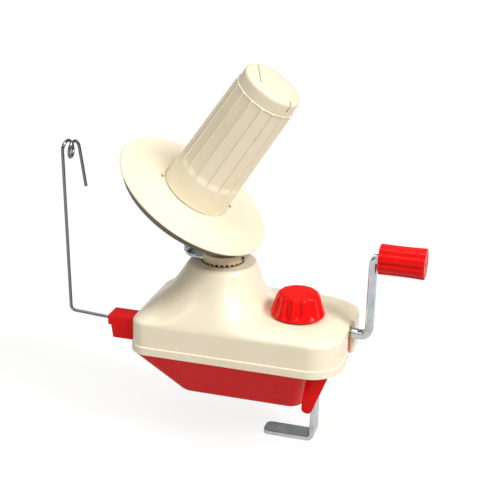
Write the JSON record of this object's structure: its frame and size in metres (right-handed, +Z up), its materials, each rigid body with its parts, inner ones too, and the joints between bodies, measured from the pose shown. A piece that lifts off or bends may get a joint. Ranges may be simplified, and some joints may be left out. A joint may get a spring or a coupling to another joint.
{
  "type": "hand-cranked yarn ball winder",
  "caption": "Table-clamped yarn ball winder: a crank turns a tilted ribbed bobbin on an orbiting bracket, beside a wire yarn guide.",
  "frame": {"origin": "where the upright spindle's axis meets the flat underside of the tray, which rests on the table", "axes": "+X to the crank end, +Y away from the wire guide's side, +Z up along the spindle"},
  "size_m": [0.2744, 0.1263, 0.2912],
  "materials": {
    "cream_plastic": "glossy moulded",
    "red_plastic": "glossy moulded",
    "beige_plastic": "satin moulded",
    "nylon": "satin moulded",
    "zinc_steel": "bright zinc plate",
    "bright_steel": "turned",
    "chrome_wire": "polished",
    "brass": "turned"
  },
  "bodies": {
    "casing": {"upper_housing": "cream_plastic", "lower_tray": "red_plastic", "case_screw_1": "zinc_steel", "case_screw_2": "zinc_steel", "case_screw_3": "zinc_steel", "case_screw_4": "zinc_steel", "centre_post": "bright_steel", "foot_bush": "brass", "neck_bush": "nylon", "sun_gear": "nylon", "post_nut": "zinc_steel", "crank_bush_inner": "brass", "crank_bush_outer": "brass", "guide_holder": "red_plastic"},
    "turntable": {"spindle_sleeve": "nylon", "turntable_drum": "beige_plastic", "bobbin_bracket": "zinc_steel", "drum_screw_1": "zinc_steel", "drum_screw_2": "zinc_steel", "drum_pin": "chrome_wire", "bobbin_axle": "bright_steel", "axle_nut": "zinc_steel", "axle_clip": "bright_steel"},
    "bobbin": {"bobbin_hub": "brass", "bobbin_gear": "nylon", "bobbin_dish": "beige_plastic", "bobbin_flange": "cream_plastic", "bobbin_tube": "cream_plastic", "bobbin_screw_1": "zinc_steel", "bobbin_screw_2": "zinc_steel", "bobbin_screw_3": "zinc_steel"},
    "crank": {"crank_arm": "zinc_steel", "drive_gear": "nylon", "gear_collar": "bright_steel", "collar_screw": "bright_steel", "crank_clip": "bright_steel"},
    "grip": {"crank_grip": "red_plastic"},
    "clamp_screw": {"clamp_knob": "red_plastic", "clamp_stud": "zinc_steel", "knob_washer": "zinc_steel", "stud_clip": "bright_steel"},
    "clamp_jaw": {"clamp_hook": "zinc_steel"},
    "guide": {"guide_wire": "chrome_wire"}
  },
  "joints": [
    {"name": "crank_turn", "type": "hinge", "parent": "casing", "child": "crank", "pos_m": [0.06, 0, 0.0547], "axis": [1, 0, 0], "continuous": true},
    {"name": "grip_spin", "type": "hinge", "parent": "crank", "child": "grip", "pos_m": [0.136, 0, 0.1169], "axis": [1, 0, 0], "continuous": true},
    {"name": "turntable_spin", "type": "hinge", "parent": "casing", "child": "turntable", "pos_m": [0, 0, 0.1], "axis": [0, 0, 1], "continuous": true},
    {"name": "bobbin_spin", "type": "hinge", "parent": "turntable", "child": "bobbin", "pos_m": [0, 0, 0.1859], "axis": [0.5589, -0.0597, 0.8271], "continuous": true},
    {"name": "clamp_turn", "type": "hinge", "parent": "casing", "child": "clamp_screw", "pos_m": [0.0613, -0.0065, 0.07], "axis": [0, 0, -1], "range_deg": [0, 9720]},
    {"name": "clamp_slide", "type": "slide", "parent": "casing", "child": "clamp_jaw", "axis": [0, 0, 1], "range_m": [0, 0.027]},
    {"name": "guide_swing", "type": "hinge", "parent": "casing", "child": "guide", "pos_m": [-0.075, -0.0227, 0.0505], "axis": [1, 0, 0], "range_deg": [-105, 105]}
  ],
  "couplings": [
    {"joint": "turntable_spin", "follows": "crank_turn", "ratio": -3.5},
    {"joint": "bobbin_spin", "follows": "crank_turn", "ratio": -0.7},
    {"joint": "clamp_slide", "follows": "clamp_turn", "m_per_rad": 0.00015915}
  ]
}
